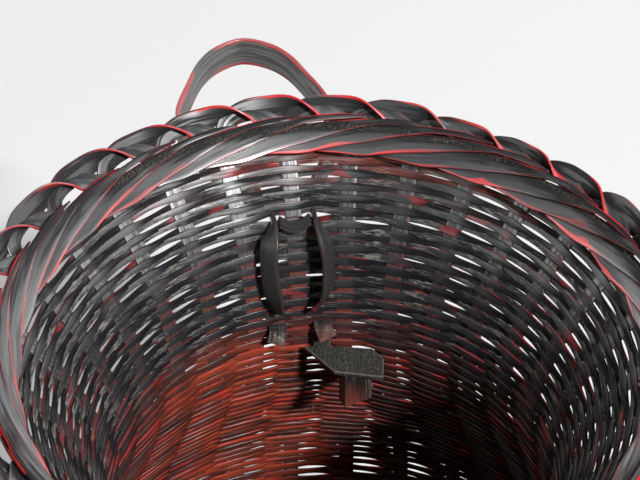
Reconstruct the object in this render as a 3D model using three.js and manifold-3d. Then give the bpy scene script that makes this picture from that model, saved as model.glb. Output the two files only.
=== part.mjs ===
// Bamboo ikebana basket: a woven vase with a plaited trumpet rim and one hanging loop.
// Millimetres, +Z up. The loop is at the back, on the +Y side. +X is the right side of the photo.
import * as THREE from 'three';
import Module from 'manifold-3d';

const wasm = await Module();
wasm.setup();
const { Manifold, Mesh } = wasm;

// Driving sizes
const STAKE_COUNT = 29; // an odd count, so that one weft alternates by itself on every turn
const STAKE_WIDTH = 6;
const STAKE_THICKNESS = 0.9;
const FOOT_RADIUS = 63;
const FOOT_HEIGHT = 10;
const BELLY_RADIUS = 104.5;
const BELLY_HEIGHT = 90;
const NECK_RADIUS = 74.5;
const NECK_HEIGHT = 200;
const RIM_RADIUS = 100.5;
const RIM_HEIGHT = 270;
const RIM_FLARE = 38; // degrees that the rim leans outward from the vertical
const RIBBON_WIDTH = 6.6;
const RIBBON_THICKNESS = 0.8;
const RIBBON_RISE = 3.3; // climb of a plaited ribbon up the rim's face from one stake to the next
const RIBBON_STEPS = 2.6; // stakes that one plaited ribbon passes on the rim's face
const ARCH_HEIGHT = 11; // middle of an arch at its crest, up the rim's slope
const WEFT_TURNS = 21; // each modelled turn stands for about seven of the real fine rows
const WEFT_THICKNESS = 0.8;
const BASE_THICKNESS = 4;
const SLAT_THICKNESS = 2.9;
const SLAT_WIDTH = 14;
const LOOP_WIDTH = 12;
const LOOP_THICKNESS = 1.6;
const LOOP_TAIL_WIDTH = 6.8;
const LOOP_SPAN = 55.4;
const LOOP_REACH = 85.6; // how far the loop stands out from the wall
const LOOP_RISE = 6; // degrees
const LOOP_LEAN = 7.9; // the loop hangs to the left of the stake that carries it
const STRAP_BOW = 4;
const LEFT_TILT = 46; // degrees that the loop's left tail turns away from the wall's outward line
const RIGHT_TILT = 30;
const RIGHT_CURL = 3; // the right tail's end bends back toward the stake
const PLATE_WIDTH = 28.4;
const PLATE_DEPTH = 16.4;
const PLATE_THICKNESS = 1.6;
const PEG_WIDTH = 9.5;
const PEG_DEPTH = 4.2;
const PEG_LENGTH = 16.6;
const CLEARANCE = 0.3;

// Derived sizes
const STEP = (2 * Math.PI) / STAKE_COUNT;
const FIRST_STAKE = -0.15; // azimuth of the stake that carries the loop, from +Y toward +X
const FLARE = (RIM_FLARE * Math.PI) / 180;
const UP_SLOPE = new THREE.Vector2(Math.sin(FLARE), Math.cos(FLARE)); // radius and height
const INWARD = new THREE.Vector2(-Math.cos(FLARE), Math.sin(FLARE));
const SHINGLE_TILT = Math.asin((RIBBON_THICKNESS + CLEARANCE) / RIBBON_RISE);
const LAYER = RIBBON_THICKNESS + 0.5;
const DIVE_LAYER = -(RIBBON_WIDTH / 2) * Math.sin(SHINGLE_TILT) - LAYER - 0.2;
const STAKE_LAYER = DIVE_LAYER - LAYER - 0.7;
const WEFT_OUT = 2.9; // how far a weft swings outside the stakes
const WEFT_IN = 2.4;
const WEFT_TOP = -0.5 * RIBBON_WIDTH - 5; // the wall stops here, below the plaited rim
const STAKE_STEP = 16.4; // longest straight piece in a modelled stake

const lacquer = (colour, roughness) =>
  new THREE.MeshStandardMaterial({ color: colour, roughness, metalness: 0 });
const basket = new THREE.Group();
basket.name = 'ikebana_basket';

function group(name) {
  const made = new THREE.Group();
  made.name = name;
  basket.add(made);
  return made;
}

// Directions at an azimuth: outward, and along the rim in the direction of the plait
const outward = (phi) => new THREE.Vector3(Math.sin(phi), Math.cos(phi), 0);
const along = (phi) => new THREE.Vector3(Math.cos(phi), -Math.sin(phi), 0);

// A point on the rim: steps from the stake's own place, up the slope, and inward from the plaited face
function rimPoint(up, inward) {
  return new THREE.Vector2(RIM_RADIUS, RIM_HEIGHT)
    .addScaledVector(UP_SLOPE, up)
    .addScaledVector(INWARD, inward);
}

// The wall's line, which the stakes follow from the foot to the rim
function hermite(z, [z0, r0, m0], [z1, r1, m1]) {
  const t = (z - z0) / (z1 - z0);
  const h = z1 - z0;
  const a = (1 + 2 * t) * (1 - t) ** 2;
  const b = t * (1 - t) ** 2;
  const c = t * t * (3 - 2 * t);
  const d = t * t * (t - 1);
  return a * r0 + b * h * m0 + c * r1 + d * h * m1;
}
const WALL_END = rimPoint(-12, STAKE_LAYER);
const KNOTS = [
  [FOOT_HEIGHT, FOOT_RADIUS, 1.15],
  [BELLY_HEIGHT, BELLY_RADIUS, 0],
  [NECK_HEIGHT, NECK_RADIUS, 0],
  [WALL_END.y, WALL_END.x, Math.tan(FLARE)],
];
const line = [];
for (let piece = 0; piece < 3; piece += 1) {
  for (let i = 0; i < 60; i += 1) {
    const z = THREE.MathUtils.lerp(KNOTS[piece][0], KNOTS[piece + 1][0], i / 60);
    line.push(new THREE.Vector2(hermite(z, KNOTS[piece], KNOTS[piece + 1]), z));
  }
}
line.push(WALL_END);
line.push(rimPoint(0, STAKE_LAYER));
const lengths = [0];
for (let i = 1; i < line.length; i += 1) {
  lengths.push(lengths[i - 1] + line[i].distanceTo(line[i - 1]));
}
const WALL_LENGTH = lengths[lengths.length - 1];

// Radius and height of the wall's line at a length from the foot
function wallAt(length) {
  let i = 1;
  while (i < line.length - 1 && lengths[i] < length) i += 1;
  const t = (length - lengths[i - 1]) / (lengths[i] - lengths[i - 1]);
  return line[i - 1].clone().lerp(line[i], t);
}

function wallUp(length) {
  const low = wallAt(Math.max(0, length - 4));
  const high = wallAt(Math.min(WALL_LENGTH, length + 4));
  return high.sub(low).normalize();
}

function wallRadius(z) {
  let i = 1;
  while (i < line.length - 1 && line[i].y < z) i += 1;
  const t = (z - line[i - 1].y) / (line[i].y - line[i - 1].y);
  return line[i - 1].x + t * (line[i].x - line[i - 1].x);
}

function lengthAt(z) {
  let i = 1;
  while (i < line.length - 1 && line[i].y < z) i += 1;
  const t = (z - line[i - 1].y) / (line[i].y - line[i - 1].y);
  return lengths[i - 1] + t * (lengths[i] - lengths[i - 1]);
}

// Sets a point of the radius and height plane at an azimuth
function place(phi, flat) {
  const p = outward(phi).multiplyScalar(flat.x);
  p.z = flat.y;
  return p;
}

// A closed strip through stations, each with a middle, a width direction and a face direction
function strip(stations) {
  const corners = [];
  for (const { p, across, face, width, thickness } of stations) {
    for (const [u, v] of [[-1, -1], [1, -1], [1, 1], [-1, 1]]) {
      corners.push(p.clone()
        .addScaledVector(across, (u * width) / 2)
        .addScaledVector(face, (v * thickness) / 2));
    }
  }
  const index = [0, 1, 2, 0, 2, 3];
  for (let i = 0; i + 1 < stations.length; i += 1) {
    for (let j = 0; j < 4; j += 1) {
      const a = 4 * i + j;
      const b = 4 * i + ((j + 1) % 4);
      index.push(a, a + 4, b, b, a + 4, b + 4);
    }
  }
  const last = 4 * (stations.length - 1);
  index.push(last, last + 2, last + 1, last, last + 3, last + 2);
  return solid(corners, index);
}

// Makes the geometry of a closed solid and turns its faces outward
function solid(corners, index) {
  let volume = 0;
  for (let i = 0; i < index.length; i += 3) {
    const [a, b, c] = [corners[index[i]], corners[index[i + 1]], corners[index[i + 2]]];
    volume += a.dot(b.clone().cross(c));
  }
  const turned = volume < 0 ? index.slice().reverse() : index;
  const geometry = new THREE.BufferGeometry();
  const flat = corners.flatMap((c) => c.toArray());
  geometry.setAttribute('position', new THREE.Float32BufferAttribute(flat, 3));
  geometry.setIndex(turned);
  geometry.computeVertexNormals();
  return geometry;
}

// Stations along a smooth path of keys; each key has a position and a width direction
function sweep(keys, steps) {
  const path = new THREE.CatmullRomCurve3(keys.map((k) => k.p), false, 'centripetal');
  const stations = [];
  for (let i = 0; i <= steps; i += 1) {
    const t = i / steps;
    const at = Math.min(keys.length - 2, Math.floor(t * (keys.length - 1)));
    const f = t * (keys.length - 1) - at;
    const [a, b] = [keys[at], keys[at + 1]];
    const tangent = path.getTangent(t);
    const across = a.across.clone().lerp(b.across, f);
    across.addScaledVector(tangent, -across.dot(tangent)).normalize();
    stations.push({
      p: path.getPoint(t),
      across,
      face: tangent.clone().cross(across).normalize(),
      width: THREE.MathUtils.lerp(a.width, b.width, f),
      thickness: THREE.MathUtils.lerp(a.thickness, b.thickness, f),
    });
  }
  return stations;
}

function add(parent, name, geometry, material) {
  const mesh = new THREE.Mesh(geometry, material);
  mesh.name = name;
  parent.add(mesh);
  return mesh;
}

// Cuts one closed geometry out of another
function toManifold(geometry) {
  const mesh = new Mesh({
    numProp: 3,
    vertProperties: new Float32Array(geometry.getAttribute('position').array),
    triVerts: new Uint32Array(geometry.getIndex().array),
  });
  return new Manifold(mesh);
}
function cut(geometry, cutters) {
  let body = toManifold(geometry);
  for (const cutter of cutters) body = body.subtract(toManifold(cutter));
  const mesh = body.getMesh();
  const corners = [];
  for (let i = 0; i < mesh.vertProperties.length; i += 3) {
    corners.push(new THREE.Vector3().fromArray(mesh.vertProperties, i));
  }
  return solid(corners, Array.from(mesh.triVerts));
}

// Stakes. Each one is a flat split of bamboo that stands in the foot, follows the wall and then,
// at the rim, arches over its neighbour, dives behind the plait, turns at the inner edge of the mouth
// and rises as one ribbon of the plaited face, which is pared to a point.
const RIBBON_START = 2.75;
const FACE_LOW = -4; // middle of a ribbon where it starts, up the slope
const RIBBON_KEYS = [
  // steps along the rim, up the slope, layer, lean of the face in radians
  [0.03, 1.5, STAKE_LAYER, 0],
  [0.2, 0.56 * ARCH_HEIGHT, STAKE_LAYER, 0],
  [0.56, 0.92 * ARCH_HEIGHT, STAKE_LAYER + 0.3, 0],
  [0.96, ARCH_HEIGHT, STAKE_LAYER + 0.9, 0],
  [1.36, 0.8 * ARCH_HEIGHT, DIVE_LAYER - 0.3, 0],
  [1.75, 0.4 * ARCH_HEIGHT, DIVE_LAYER, 0],
  [2.1, FACE_LOW + 2.6, DIVE_LAYER + 0.1, 0.5 * SHINGLE_TILT],
  [2.38, FACE_LOW + 0.6, DIVE_LAYER + 0.9, SHINGLE_TILT],
  [2.6, FACE_LOW - 0.2, -0.45, SHINGLE_TILT],
  [RIBBON_START + 0.1, FACE_LOW + 0.1 * RIBBON_RISE, 0, SHINGLE_TILT],
  [RIBBON_START + 0.7, FACE_LOW + 0.7 * RIBBON_RISE, 0, SHINGLE_TILT],
  [RIBBON_START + 1.4, FACE_LOW + 1.4 * RIBBON_RISE, 0, SHINGLE_TILT],
  [RIBBON_START + 2.1, FACE_LOW + 2.1 * RIBBON_RISE, 0, SHINGLE_TILT],
  [RIBBON_START + RIBBON_STEPS, FACE_LOW + RIBBON_STEPS * RIBBON_RISE, 0, SHINGLE_TILT],
];

function stakeStations(phi) {
  const stations = [];
  const foot = place(phi, new THREE.Vector2(FOOT_RADIUS, 2 * CLEARANCE));
  const plain = { width: STAKE_WIDTH, thickness: STAKE_THICKNESS };
  const across = along(phi).negate();
  stations.push({ p: foot, across, face: outward(phi).negate(), ...plain });
  const wallTop = WALL_LENGTH - 2;
  const count = Math.ceil(wallTop / STAKE_STEP);
  for (let i = 0; i <= count; i += 1) {
    const length = (wallTop * i) / count;
    const up = i === 0 ? new THREE.Vector2(0.45, 0.89) : wallUp(length);
    const face = place(phi, new THREE.Vector2(-up.y, up.x));
    stations.push({ p: place(phi, wallAt(length)), across, face, ...plain });
  }
  const middle = RIBBON_KEYS.map(([steps, up, layer]) => place(phi + steps * STEP, rimPoint(up, layer)));
  RIBBON_KEYS.forEach(([steps, , , lean], i) => {
    const here = phi + steps * STEP;
    const before = i === 0 ? stations[stations.length - 1].p : middle[i - 1];
    const after = i === middle.length - 1 ? middle[i] : middle[i + 1];
    const tangent = after.clone().sub(before).normalize();
    const inward = place(here, INWARD);
    const side = inward.clone().cross(tangent).normalize();
    const face = tangent.clone().cross(side).normalize();
    const tilted = side.clone().multiplyScalar(Math.cos(lean)).addScaledVector(face, -Math.sin(lean));
    const normal = face.clone().multiplyScalar(Math.cos(lean)).addScaledVector(side, Math.sin(lean));
    const fromEnd = middle.length - 1 - i;
    stations.push({
      p: middle[i],
      across: tilted,
      face: normal,
      width: i < 2 ? STAKE_WIDTH : RIBBON_WIDTH * [0.35, 0.8, 1][Math.min(2, fromEnd)],
      thickness: i < 2 ? STAKE_THICKNESS : RIBBON_THICKNESS,
    });
  });
  return stations;
}

const frame = group('stakes_and_plaited_rim');
for (let k = 0; k < STAKE_COUNT; k += 1) {
  const name = `stake_${String(k + 1).padStart(2, '0')}`;
  add(frame, name, strip(stakeStations(FIRST_STAKE + k * STEP)), lacquer(0x1d1a1a, 0.42));
}

// Wefts. One split runs round and round, inside one stake and outside the next.
const WALL_START = 1.5;
const WEFT_GAP = 0.4;
const WALL_STOP = WALL_LENGTH + WEFT_TOP;
const WEFT_PITCH = (WALL_STOP - WALL_START) / WEFT_TURNS;
const WEFT_LEAST = 1.6; // the split is pared down where it starts and where it ends

// Length from the foot to the middle of the weft, after a number of stakes
const weftLength = (stakes) => WALL_START + WEFT_PITCH * (0.5 + stakes / STAKE_COUNT);

function weftStation(stakes) {
  const phi = FIRST_STAKE + stakes * STEP;
  const reach = (WEFT_PITCH - WEFT_GAP) / 2;
  const bottom = Math.max(WALL_START, weftLength(stakes) - reach);
  const top = Math.min(WALL_STOP, weftLength(stakes) + reach);
  const low = wallAt(bottom);
  const high = wallAt(top);
  const up = high.clone().sub(low).normalize();
  const out = new THREE.Vector2(up.y, -up.x);
  const middle = low.lerp(high, 0.5).lerp(wallAt((bottom + top) / 2), 0.5);
  middle.addScaledVector(out, stakes % 2 === 0 ? WEFT_OUT : -WEFT_IN);
  return {
    p: place(phi, middle),
    across: place(phi, up),
    face: place(phi, out),
    width: top - bottom,
    thickness: WEFT_THICKNESS,
  };
}

// Turns of weft that the loop, its wedges and the plate go through, each in the turn's middle
const LOOP_TURN = WEFT_TURNS - 2;
const WEDGE_TURN = WEFT_TURNS - 5;
const PLATE_TURN = WEFT_TURNS - 6;

// A point against the inside of the wall: along the rim from the loop's stake, down, and inward
function inside(aside, length, inset) {
  const flat = wallAt(length);
  const up = wallUp(length);
  const phi = FIRST_STAKE + aside / flat.x;
  return place(phi, flat.add(new THREE.Vector2(-up.y, up.x).multiplyScalar(inset)));
}

// Hanging loop: a flat band that stands out behind the rim. It is narrowed to pass through the wall
// on both sides of one stake, and its two tails run down the inside like a pair of brackets.
const LOOP_LENGTH = weftLength(LOOP_TURN * STAKE_COUNT);
const LOOP_ROOT = wallAt(LOOP_LENGTH);
const WEDGE_LENGTH = weftLength(WEDGE_TURN * STAKE_COUNT);
const STRAP_DROP = LOOP_LENGTH - WEDGE_LENGTH - 3.5 * LOOP_THICKNESS; // the tails end above the wedges
const INNER_FACE = WEFT_IN + WEFT_THICKNESS / 2;
const STRAP_INSET = INNER_FACE + 2 * CLEARANCE + LOOP_TAIL_WIDTH / 2;
const LOOP_HALF_GAP = STAKE_WIDTH / 2 + LOOP_THICKNESS / 2 + 3.5;
const LOOP_CLIMB = Math.tan(THREE.MathUtils.degToRad(LOOP_RISE));
const loopOut = outward(FIRST_STAKE);
const loopAlong = along(FIRST_STAKE);

function loopKeys(side, extra) {
  const tail = { width: LOOP_TAIL_WIDTH + extra, thickness: LOOP_THICKNESS + extra };
  const band = { width: LOOP_WIDTH + extra, thickness: LOOP_THICKNESS + extra };
  const keys = [];
  const down = new THREE.Vector3(0, 0, -1);
  const strap = [[0.2, 1, 0.76], [0.7, 0.8, 1], [1, 0.5, 1], [0.8, 0.24, 1], [0.25, 0.09, 0.55]];
  for (const [bow, drop, inset] of strap) {
    const curl = side > 0 && drop === 1 ? RIGHT_CURL : 0;
    const aside = side * (LOOP_HALF_GAP + bow * STRAP_BOW - curl);
    const tilt = side * THREE.MathUtils.degToRad(side > 0 ? RIGHT_TILT : LEFT_TILT);
    const across = outward(FIRST_STAKE + aside / LOOP_ROOT.x + tilt);
    if (drop < 0.2) across.add(down).normalize();
    keys.push({
      p: inside(aside, LOOP_LENGTH - drop * STRAP_DROP, inset * STRAP_INSET),
      across,
      ...tail,
      width: (drop === 1 ? 0.55 : 1) * LOOP_TAIL_WIDTH + extra,
    });
  }
  keys.push({ p: inside(side * LOOP_HALF_GAP, LOOP_LENGTH, 0), across: down, ...tail });
  const span = LOOP_SPAN / 2;
  const shape = [
    [0.1, LOOP_HALF_GAP + 0.04 * span],
    [0.24, 0.62 * span],
    [0.4, 0.93 * span],
    [0.57, span],
    [0.76, 0.78 * span],
    [0.88, 0.59 * span],
    [0.955, 0.36 * span],
  ];
  shape.forEach(([reach, half], i) => {
    const p = loopOut.clone().multiplyScalar(LOOP_ROOT.x + reach * LOOP_REACH);
    p.addScaledVector(loopAlong, side * half - LOOP_LEAN * Math.min(1, 1.7 * reach));
    p.z = LOOP_ROOT.y + reach * LOOP_REACH * LOOP_CLIMB;
    keys.push({ p, across: down, ...(i === 0 ? { ...tail, width: 0.55 * LOOP_WIDTH + extra } : band) });
  });
  return keys;
}

function loopStations(extra) {
  const tip = loopOut.clone().multiplyScalar(LOOP_ROOT.x + LOOP_REACH);
  tip.addScaledVector(loopAlong, -LOOP_LEAN);
  tip.z = LOOP_ROOT.y + LOOP_REACH * LOOP_CLIMB;
  const middle = {
    p: tip,
    across: new THREE.Vector3(0, 0, -1),
    width: LOOP_WIDTH + extra,
    thickness: LOOP_THICKNESS + extra,
  };
  return sweep([...loopKeys(-1, extra), middle, ...loopKeys(1, extra).reverse()], 52);
}

// Wedges: short splits pushed in through the wall below the tails, which keep the tails from pulling out
const WEDGE_WIDTH = 6.4;
function wedge(side, extra) {
  const aside = side * (wallAt(WEDGE_LENGTH).x * STEP) / 2;
  const keys = [
    [0, -WEFT_OUT - 2, 3],
    [0, -0.5, 3],
    [0.5, INNER_FACE + 1, 3.6],
    [2.4, INNER_FACE + 3.2, 6.6],
  ].map(([slide, inset, drop]) => ({
    p: inside(aside + side * slide, WEDGE_LENGTH - drop, inset),
    across: along(FIRST_STAKE + aside / LOOP_ROOT.x),
    width: WEDGE_WIDTH + extra,
    thickness: LOOP_THICKNESS + extra,
  }));
  return strip(sweep(keys, 6));
}

// Keeper plate: a flat piece with cut corners that stands out from the inside of the wall at the neck.
// Its tongue goes out through the wall between two stakes.
const PLATE_LENGTH = weftLength(PLATE_TURN * STAKE_COUNT);
const PLATE_ROOT = wallAt(PLATE_LENGTH);
const PLATE_AZIMUTH = FIRST_STAKE + STEP / 2; // the gap beside the loop's stake
const TONGUE_WIDTH = 6;
const plateOut = outward(PLATE_AZIMUTH);
const plateAlong = along(PLATE_AZIMUTH);

function plateOutline(grow) {
  const back = PLATE_ROOT.x - INNER_FACE - 4 * CLEARANCE;
  const half = TONGUE_WIDTH / 2 + grow;
  const points = [
    [0.14 * PLATE_WIDTH, back - 0.8 * PLATE_DEPTH],
    [-0.23 * PLATE_WIDTH, back],
    [-half, back],
    [-half, PLATE_ROOT.x + WEFT_OUT + 3],
    [half, PLATE_ROOT.x + WEFT_OUT + 3],
    [half, back],
    [0.63 * PLATE_WIDTH, back - 0.12 * PLATE_DEPTH],
    [0.77 * PLATE_WIDTH, back - 0.46 * PLATE_DEPTH],
    [0.74 * PLATE_WIDTH, back - PLATE_DEPTH],
  ];
  return new THREE.Shape(points.map(([x, y]) => new THREE.Vector2(x, y)));
}

function plateSolid(grow) {
  const thickness = PLATE_THICKNESS + 2 * grow;
  const settings = { depth: thickness, bevelEnabled: false };
  const geometry = new THREE.ExtrudeGeometry(plateOutline(grow), settings);
  const turn = new THREE.Matrix4().makeBasis(plateAlong, plateOut, new THREE.Vector3(0, 0, 1));
  turn.setPosition(0, 0, PLATE_ROOT.y - thickness / 2);
  geometry.applyMatrix4(turn);
  return joined(geometry);
}

// Shares the corners of a geometry, so that it is one closed solid
function joined(geometry) {
  const position = geometry.getAttribute('position');
  const seen = new Map();
  const corners = [];
  const index = [];
  for (let i = 0; i < position.count; i += 1) {
    const p = new THREE.Vector3().fromBufferAttribute(position, i);
    const key = p.toArray().map((v) => v.toFixed(4)).join();
    if (!seen.has(key)) {
      seen.set(key, corners.length);
      corners.push(p);
    }
    index.push(seen.get(key));
  }
  const order = geometry.getIndex() ? Array.from(geometry.getIndex().array, (i) => index[i]) : index;
  return solid(corners, order);
}

const weave = group('woven_wall');
const WEFT_NAMES = [
  'foot', 'lower_body', 'body', 'belly', 'upper_belly', 'shoulder', 'lower_neck', 'neck', 'mouth',
];
const slots = [strip(loopStations(2 * CLEARANCE)), plateSolid(CLEARANCE)];
slots.push(wedge(1, 2 * CLEARANCE), wedge(-1, 2 * CLEARANCE));
const FIRST_WEFT = Math.ceil((WEFT_LEAST / WEFT_PITCH - 1) * STAKE_COUNT);
const LAST_WEFT = Math.floor((WEFT_TURNS - WEFT_LEAST / WEFT_PITCH) * STAKE_COUNT);

// Each length of weft ends at the front, half a turn away from the loop and the plate
function weftEnd(i) {
  const turns = Math.round((i * WEFT_TURNS) / WEFT_NAMES.length - 0.5) + 0.5;
  return Math.round(turns * STAKE_COUNT);
}
WEFT_NAMES.forEach((name, i) => {
  const first = i === 0 ? FIRST_WEFT : weftEnd(i);
  const last = i === WEFT_NAMES.length - 1 ? LAST_WEFT : weftEnd(i + 1);
  const stations = [];
  for (let k = first; k <= last; k += 1) stations.push(weftStation(k));
  if (i > 0) stations[0].p.lerp(stations[1].p, 0.02);
  let geometry = strip(stations);
  if (last > (PLATE_TURN - 1) * STAKE_COUNT) geometry = cut(geometry, slots);
  add(weave, `weft_${name}`, geometry, lacquer(0x2a1c1a, 0.5));
});

// Foot: a hoop round the ends of the stakes, a woven mat and two crossed slats under it
const foot = group('foot_and_base');
const SIDES = 2 * STAKE_COUNT;
const FLAT_TO_CORNER = 1 / Math.cos(Math.PI / SIDES);
const hoopInner = (FOOT_RADIUS + STAKE_THICKNESS / 2 + 1.3 * CLEARANCE) * FLAT_TO_CORNER;
const hoopOuter = hoopInner + 3;
const hoopTop = FOOT_HEIGHT - 1;
const hoopProfile = [
  [hoopInner, 0],
  [hoopOuter - 0.8, 0],
  [hoopOuter, 0.8],
  [hoopOuter, hoopTop - 1.2],
  [hoopOuter - 1.2, hoopTop],
  [hoopInner, hoopTop],
  [hoopInner, 0],
].map(([r, z]) => new THREE.Vector2(r, z));
const hoop = new THREE.LatheGeometry(hoopProfile, SIDES).rotateX(Math.PI / 2);
add(foot, 'foot_ring', joined(hoop), lacquer(0x1a1716, 0.42));

const baseRadius = FOOT_RADIUS - STAKE_THICKNESS / 2 - CLEARANCE;
const matBottom = SLAT_THICKNESS + CLEARANCE;
const mat = new THREE.CylinderGeometry(baseRadius, baseRadius, BASE_THICKNESS, SIDES);
mat.rotateX(Math.PI / 2).translate(0, 0, matBottom + BASE_THICKNESS / 2);
add(foot, 'base_mat', joined(mat), lacquer(0x3a1d17, 0.6));

// The slats are halved where they cross, and their undersides are level with the hoop's, so both rest
const slatLength = 2 * Math.sqrt((baseRadius - CLEARANCE) ** 2 - (SLAT_WIDTH / 2) ** 2);
function slat(notchUp) {
  const low = 0;
  const high = SLAT_THICKNESS;
  const half = (low + high) / 2 + (notchUp ? -0.5 : 0.5) * CLEARANCE;
  const open = SLAT_WIDTH / 2 + CLEARANCE;
  const end = slatLength / 2;
  const [back, near] = notchUp ? [low, high] : [high, low];
  const points = [
    [end, back],
    [end, near],
    [open, near],
    [open, half],
    [-open, half],
    [-open, near],
    [-end, near],
    [-end, back],
  ];
  const shape = new THREE.Shape(points.map(([x, z]) => new THREE.Vector2(x, z)));
  const geometry = new THREE.ExtrudeGeometry(shape, { depth: SLAT_WIDTH, bevelEnabled: false });
  geometry.rotateX(Math.PI / 2).translate(0, SLAT_WIDTH / 2, 0);
  return geometry;
}
add(foot, 'base_slat_long', joined(slat(true)), lacquer(0x241816, 0.5));
add(foot, 'base_slat_cross', joined(slat(false).rotateZ(Math.PI / 2)), lacquer(0x241816, 0.5));

// Hanging gear
const gear = group('hanging_gear');
add(gear, 'hanging_loop', strip(loopStations(0)), lacquer(0x262424, 0.38));

const tieInset = INNER_FACE + 3 * CLEARANCE + 0.7;
const tieEnd = LOOP_HALF_GAP - LOOP_THICKNESS / 2 - 2.5 * CLEARANCE;
const tieKeys = [
  [-1, 2.4],
  [-0.5, 4.6],
  [0, 5.4],
  [0.5, 4.6],
  [1, 2.4],
].map(([aside, drop]) => ({
  p: inside(aside * tieEnd, LOOP_LENGTH - drop, tieInset),
  across: place(FIRST_STAKE, wallUp(LOOP_LENGTH)),
  width: 4,
  thickness: 1.4,
}));
add(gear, 'loop_tie', strip(sweep(tieKeys, 8)), lacquer(0x161414, 0.4));

add(gear, 'loop_wedge_right', wedge(1, 0), lacquer(0x241816, 0.5));
add(gear, 'loop_wedge_left', wedge(-1, 0), lacquer(0x241816, 0.5));

const keeper = group('keeper');
add(keeper, 'keeper_plate', plateSolid(0), lacquer(0x35332f, 0.7));

// Keeper peg: a split of bamboo that hangs under the plate's free edge, cut off at a slant
const pegLeft = 0.2 * PLATE_WIDTH;
const pegBack = PLATE_ROOT.x - INNER_FACE - 4 * CLEARANCE - 0.57 * PLATE_DEPTH;
const pegTop = PLATE_ROOT.y - PLATE_THICKNESS / 2 - CLEARANCE;
const pegShape = new THREE.Shape([
  new THREE.Vector2(pegLeft, pegTop),
  new THREE.Vector2(pegLeft, pegTop - PEG_LENGTH),
  new THREE.Vector2(pegLeft + PEG_WIDTH, pegTop - 0.7 * PEG_LENGTH),
  new THREE.Vector2(pegLeft + PEG_WIDTH, pegTop),
]);
const peg = new THREE.ExtrudeGeometry(pegShape, { depth: PEG_DEPTH, bevelEnabled: false });
const pegForward = plateOut.clone().negate().addScaledVector(plateAlong, 0.5);
const pegTurn = new THREE.Matrix4().makeBasis(plateAlong, new THREE.Vector3(0, 0, 1), pegForward);
pegTurn.setPosition(plateOut.clone().multiplyScalar(pegBack));
peg.applyMatrix4(pegTurn);
add(keeper, 'keeper_peg', joined(peg), lacquer(0x33221c, 0.6));

export default basket;
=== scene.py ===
# %% [markdown]
# # A lacquered bamboo basket for flowers
# The basket is woven from split bamboo: flat stakes stand upright, thin wefts run round them, and the tops of the
# stakes are bent over and plaited into a wide rim. Everything is black lacquer, rubbed red where hands touch it.
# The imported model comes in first. It fixes where every piece is, so the looks are built round it in the same frame.

# %% Load the frame
import math

import bmesh
import bpy
import numpy as np
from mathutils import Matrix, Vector


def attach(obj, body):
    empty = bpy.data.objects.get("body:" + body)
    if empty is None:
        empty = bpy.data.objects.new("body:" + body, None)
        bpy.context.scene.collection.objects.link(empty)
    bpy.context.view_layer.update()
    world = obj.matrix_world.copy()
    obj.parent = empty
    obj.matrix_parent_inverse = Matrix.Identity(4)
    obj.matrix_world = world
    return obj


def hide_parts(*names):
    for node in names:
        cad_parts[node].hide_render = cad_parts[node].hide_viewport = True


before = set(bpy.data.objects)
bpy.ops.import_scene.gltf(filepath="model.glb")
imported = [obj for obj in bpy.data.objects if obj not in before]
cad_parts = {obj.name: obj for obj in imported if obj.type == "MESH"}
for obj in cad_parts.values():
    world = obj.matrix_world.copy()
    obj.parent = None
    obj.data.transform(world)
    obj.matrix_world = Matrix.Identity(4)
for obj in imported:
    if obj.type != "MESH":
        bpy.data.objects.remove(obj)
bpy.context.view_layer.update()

print("pieces in the frame:", len(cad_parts))

# %% [markdown]
# ## The sizes
# The same few sizes drive the solids and this script, so a strand that is rebuilt here lies where its solid lies.
# They are in millimetres, as a maker would give them, and the meshes turn them into metres at the very end.

# %% Sizes
MM = 0.001
STAKE_COUNT = 29
STAKE_WIDTH, STAKE_THICKNESS = 6.0, 0.9
FOOT_RADIUS, FOOT_HEIGHT = 63.0, 10.0
BELLY_RADIUS, BELLY_HEIGHT = 104.5, 90.0
NECK_RADIUS, NECK_HEIGHT = 74.5, 200.0
RIM_RADIUS, RIM_HEIGHT = 100.5, 270.0
RIM_FLARE = math.radians(38)
RIBBON_WIDTH, RIBBON_THICKNESS = 6.6, 0.8
RIBBON_RISE, RIBBON_STEPS = 3.3, 2.6
ARCH_HEIGHT = 11.0
CLEARANCE = 0.3
FIRST_STAKE = -0.15
STEP = 2 * math.pi / STAKE_COUNT

UP_SLOPE = np.array([math.sin(RIM_FLARE), math.cos(RIM_FLARE)])
INWARD = np.array([-math.cos(RIM_FLARE), math.sin(RIM_FLARE)])
SHINGLE_TILT = math.asin((RIBBON_THICKNESS + CLEARANCE) / RIBBON_RISE)
LAYER = RIBBON_THICKNESS + 0.5
DIVE_LAYER = -RIBBON_WIDTH / 2 * math.sin(SHINGLE_TILT) - LAYER - 0.2
STAKE_LAYER = DIVE_LAYER - LAYER - 0.7
rng = np.random.default_rng(29)
print("one stake every", round(math.degrees(STEP), 2), "degrees")

# %% [markdown]
# ## The wall's line
# Seen from the side, a stake leaves the foot, swells round the belly, draws in at the neck and flares to the rim.
# A maker bends this by eye. Here it is a chain of cubic curves through four points, sampled finely once, so that
# any length along the wall can be looked up as a radius and a height.

# %% Sample the wall's line
RIM_LEAD = 12.0
FOOT_SLOPE = 1.15


def rim_point(up, layer):
    """Radius and height of a point on the rim: up its slope, and inward from the plaited face."""
    up, layer = np.broadcast_arrays(np.asarray(up, float), np.asarray(layer, float))
    return np.array([RIM_RADIUS, RIM_HEIGHT]) + up[..., None] * UP_SLOPE + layer[..., None] * INWARD


def hermite(z, low, high):
    """Radius at a height, on the cubic curve between two knots of height, radius and slope."""
    (z0, r0, m0), (z1, r1, m1) = low, high
    t, h = (z - z0) / (z1 - z0), z1 - z0
    return ((1 + 2 * t) * (1 - t) ** 2 * r0 + t * (1 - t) ** 2 * h * m0
            + t * t * (3 - 2 * t) * r1 + t * t * (t - 1) * h * m1)


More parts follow.
